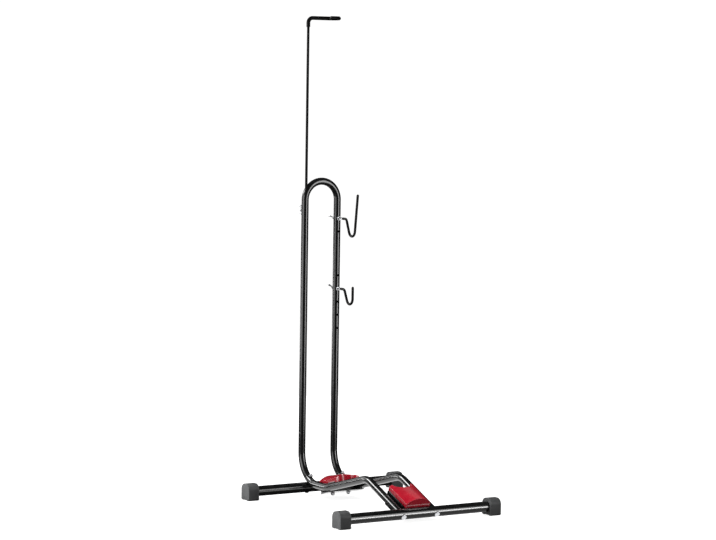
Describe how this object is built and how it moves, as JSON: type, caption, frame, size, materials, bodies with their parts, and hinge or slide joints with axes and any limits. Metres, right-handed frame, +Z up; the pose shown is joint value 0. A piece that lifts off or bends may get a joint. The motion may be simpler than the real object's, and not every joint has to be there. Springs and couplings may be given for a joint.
{
  "type": "vertical bike stand",
  "caption": "Floor stand that holds a bicycle upright: a wide base with tyre rests, a tall tube hoop, a sliding wheel hook and swivelling J hooks that hang the frame.",
  "frame": {"origin": "on the floor, at the bottom centre of the stand's own box", "axes": "+Z up along the hoop and the rod, +X along the crossbars towards the side with the J hooks, -Y towards the front crossbar, away from the hoop"},
  "size_m": [0.676, 0.7826, 1.7973],
  "materials": {
    "black_paint": "glossy black powder coat over steel",
    "black_plastic": "fine-grained charcoal moulded plastic",
    "red_plastic": "glossy red moulded plastic",
    "zinc": "bright zinc plate",
    "black_rubber": "soft black tube with a dull sheen",
    "black_vinyl": "steel with a thin dipped vinyl coat",
    "nylon": "natural nylon"
  },
  "bodies": {
    "base": {"front_crossbar": "black_paint", "rear_crossbar": "black_paint", "end_cap_front_left": "black_plastic", "end_cap_front_right": "black_plastic", "end_cap_rear_left": "black_plastic", "end_cap_rear_right": "black_plastic", "left_rail": "black_paint", "right_rail": "black_paint", "left_joint_sleeve": "zinc", "right_joint_sleeve": "zinc", "left_rail_end_plug": "zinc", "right_rail_end_plug": "zinc", "front_bar_bolt_left": "zinc", "front_bar_bolt_right": "zinc", "rear_bar_bolt_left": "zinc", "rear_bar_bolt_right": "zinc", "rear_bar_nut_left": "zinc", "rear_bar_nut_right": "zinc", "front_pad_bracket": "black_paint", "front_wheel_pad": "red_plastic", "front_pad_stud_left": "zinc", "front_pad_nut_left": "zinc", "front_pad_stud_right": "zinc", "front_pad_nut_right": "zinc", "rear_pad_bracket": "black_paint", "rear_wheel_pad": "red_plastic", "rear_pad_stud_left": "zinc", "rear_pad_nut_left": "zinc", "rear_pad_stud_right": "zinc", "rear_pad_nut_right": "zinc", "hoop": "black_paint", "hoop_screw_left": "zinc", "hoop_screw_right": "zinc", "clamp_boss": "black_paint", "upper_hook_washer": "zinc", "lower_hook_washer": "zinc"},
    "rod_slider": {"rod_guide_bush": "nylon"},
    "rod": {"sliding_rod": "black_paint", "wheel_hook_sleeve": "black_rubber"},
    "rod_clamp": {"rod_wing_bolt": "zinc"},
    "upper_hook_body": {"upper_hook": "black_vinyl", "upper_hook_nut": "zinc"},
    "upper_wing_nut": {"upper_hook_wing_nut": "zinc"},
    "lower_hook_body": {"lower_hook": "black_vinyl", "lower_hook_nut": "zinc"},
    "lower_wing_nut": {"lower_hook_wing_nut": "zinc"}
  },
  "joints": [
    {"name": "rod_slide", "type": "slide", "parent": "base", "child": "rod_slider", "axis": [0, 0, 1], "range_m": [-0.58, 0.06]},
    {"name": "rod_swivel", "type": "hinge", "parent": "rod_slider", "child": "rod", "pos_m": [-0.07, 0.34153, 1], "axis": [0, 0, 1], "continuous": true},
    {"name": "rod_clamp_turn", "type": "hinge", "parent": "base", "child": "rod_clamp", "pos_m": [-0.07, 0.36933, 1.071], "axis": [0, 1, 0], "continuous": true},
    {"name": "upper_hook_swivel", "type": "hinge", "parent": "base", "child": "upper_hook_body", "pos_m": [0.07, 0.34823, 1.04], "axis": [0, 1, 0], "continuous": true},
    {"name": "upper_wing_nut_turn", "type": "hinge", "parent": "upper_hook_body", "child": "upper_wing_nut", "pos_m": [0.07, 0.36393, 1.04], "axis": [0, 1, 0], "continuous": true},
    {"name": "lower_hook_swivel", "type": "hinge", "parent": "base", "child": "lower_hook_body", "pos_m": [0.07, 0.34823, 0.774], "axis": [0, 1, 0], "continuous": true},
    {"name": "lower_wing_nut_turn", "type": "hinge", "parent": "lower_hook_body", "child": "lower_wing_nut", "pos_m": [0.07, 0.36393, 0.774], "axis": [0, 1, 0], "continuous": true}
  ]
}
